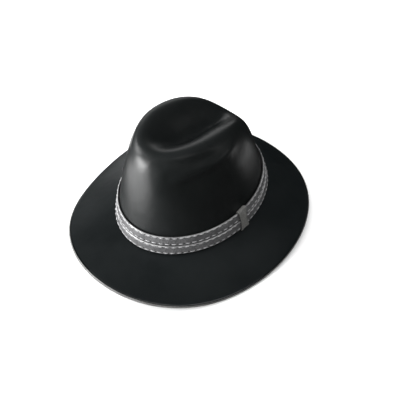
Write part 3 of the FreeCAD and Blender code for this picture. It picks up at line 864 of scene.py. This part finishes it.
def bow():
    """Small ribbon bow sewn on the tape: two loops and a knot, leaning with the crown's wall."""
    strips = []
    turn = np.linspace(-math.pi, math.pi, 33)
    for side in (-1.0, 1.0):
        x = side * (BOW_LOOP / 2.0 + 0.6 + BOW_LOOP / 2.0 * np.cos(turn))
        y = 0.95 * np.sin(turn) * (0.35 + 0.65 * np.sin(np.abs(turn) / 2.0 + math.pi / 2) ** 2)
        width = BOW_WAIST + (BOW_TALL - BOW_WAIST) * smooth(0.0, 5.0, np.abs(x))
        strips.append(ribbon_strip(x, y, width, 0.3))
    turn = np.linspace(0.0, 2.0 * math.pi, 25)
    strips.append(ribbon_strip(1.5 * np.cos(turn), 1.5 * np.sin(turn), np.full(len(turn), 3.4), 0.5))
    verts, faces = gather(strips)
    seat = wall(math.pi, BRIM_BREAK + BOW_FOOT, -(TAPE_OUT + TAPE_T + BOW_KNOT / 2.0 + 0.15))
    lean = np.array(Matrix.Rotation(math.atan(TAPER * HALF_L / TALL), 3, "X"))
    piece = make_piece("ribbon_bow", verts @ lean.T + seat, faces, RIBBON_MAT)
    fit(piece, "hat", "sweatband_bow")


def inside():
    lining()
    sweatband()
    tape()
    bow()


# ---- stage --------------------------------------------------------------

def floor():
    """Pale floor a little under the hat, which isn't seen in reflections."""
    mesh = bpy.data.meshes.new("floor")
    reach, z = 1.1, -0.0004
    mesh.from_pydata([(-reach, -reach, z), (reach, -reach, z), (reach, reach, z), (-reach, reach, z)],
                     [], [(0, 1, 2, 3)])
    piece = bpy.data.objects.new("floor", mesh)
    bpy.context.scene.collection.objects.link(piece)
    material, tree, shader, place = start_material("pale_floor")
    shade = ramp(tree, noise_node(tree, place, 3.0), [(0.3, (0.86, 0.86, 0.86)), (0.7, (0.88, 0.88, 0.88))])
    tree.links.new(shade, shader.inputs["Base Color"])
    shader.inputs["Roughness"].default_value = 0.9
    shader.inputs["Specular IOR Level"].default_value = 0.1
    mesh.materials.append(material)
    piece.visible_glossy = False


def area_light(name, width, height, watts, glossy=True):
    light = bpy.data.lights.new(name, "AREA")
    light.shape = "RECTANGLE"
    light.size, light.size_y = width, height
    light.energy = watts
    lamp = bpy.data.objects.new(name, light)
    bpy.context.scene.collection.objects.link(lamp)
    lamp.visible_glossy = glossy
    return lamp


def compass(azimuth, elevation):
    """Direction from the hat: azimuth 0 in front, 90 on the wearer's left."""
    turn, lift = math.radians(azimuth), math.radians(elevation)
    return Vector((math.sin(turn) * math.cos(lift), -math.cos(turn) * math.cos(lift), math.sin(lift)))


def softbox(name, azimuth, elevation, width, height, watts, distance=1.6, glossy=True):
    """Soft light aimed at the crown."""
    lamp = area_light(name, width, height, watts, glossy)
    aim = Vector((0.0, 0.0, 0.09))
    lamp.location = aim + compass(azimuth, elevation) * distance
    lamp.rotation_euler = (aim - lamp.location).to_track_quat("-Z", "Y").to_euler()


def low_card(name, azimuth, reach, width, depth, watts):
    """Soft light lying on the floor beside the brim, shining up, out of the camera's sight."""
    lamp = area_light(name, width, depth, watts)
    lamp.location = compass(azimuth, 0.0) * reach + Vector((0.0, 0.0, 0.004))
    lamp.rotation_euler = (math.pi, 0.0, math.radians(azimuth))
    lamp.visible_camera = False


def lights():
    """White background for the camera alone, and the lights."""
    world = bpy.data.worlds.new("studio")
    world.use_nodes = True
    background = world.node_tree.nodes["Background"]
    background.inputs["Color"].default_value = (1.0, 1.0, 1.0, 1.0)
    background.inputs["Strength"].default_value = 1.05
    world.cycles_visibility.diffuse = False
    world.cycles_visibility.glossy = False
    bpy.context.scene.world = world
    softbox("overhead", 180.0, 88.0, 5.0, 5.0, 170.0, distance=2.4, glossy=False)
    softbox("window", 334.0, 5.5, 0.9, 0.46, 30.0)
    softbox("window_glow", 331.0, 15.0, 1.5, 0.8, 55.0, glossy=False)
    softbox("window_side", 300.0, 25.0, 0.55, 0.55, 9.0)
    softbox("crease_light", 236.0, 14.0, 1.4, 0.9, 3.6)
    softbox("bowl_fill", 122.0, 22.0, 0.6, 0.5, 0.7)
    softbox("right_fill", 60.0, 45.0, 0.55, 0.55, 1.0)
    low_card("front_card", 341.0, 0.42, 0.42, 0.14, 1.05)
    low_card("far_card", 338.0, 0.80, 0.55, 0.40, 4.0)
    low_card("near_card", 333.0, 0.265, 0.32, 0.12, 0.36)
    low_card("side_card", 255.0, 0.28, 0.20, 0.12, 0.6)
    low_card("back_card", 150.0, 0.30, 0.16, 0.10, 0.07)


def camera():
    """Camera at the photograph's viewing angle, aimed at the middle of the crown's foot."""
    azimuth, elevation, roll, distance = 47.44, 48.43, -1.95, 0.637
    back = compass(azimuth, elevation)
    target = Vector(to_row([0.0, 0.0, 0.0]))
    lens = bpy.data.cameras.new("camera")
    lens.sensor_width, lens.lens = 36.0, 43.74
    lens.shift_x, lens.shift_y = 0.01815, -0.02575
    lens.clip_start = 0.01
    holder = bpy.data.objects.new("camera", lens)
    bpy.context.scene.collection.objects.link(holder)
    turn = (-back).to_track_quat("-Z", "Y").to_matrix() @ Matrix.Rotation(math.radians(roll), 3, "Z")
    holder.matrix_world = Matrix.Translation(target + back * distance) @ turn.to_4x4()
    bpy.context.scene.camera = holder


crown()
brim_layers()
hat_band()
keeper()
inside()
floor()
lights()
camera()
bpy.context.scene.view_settings.view_transform = "Standard"
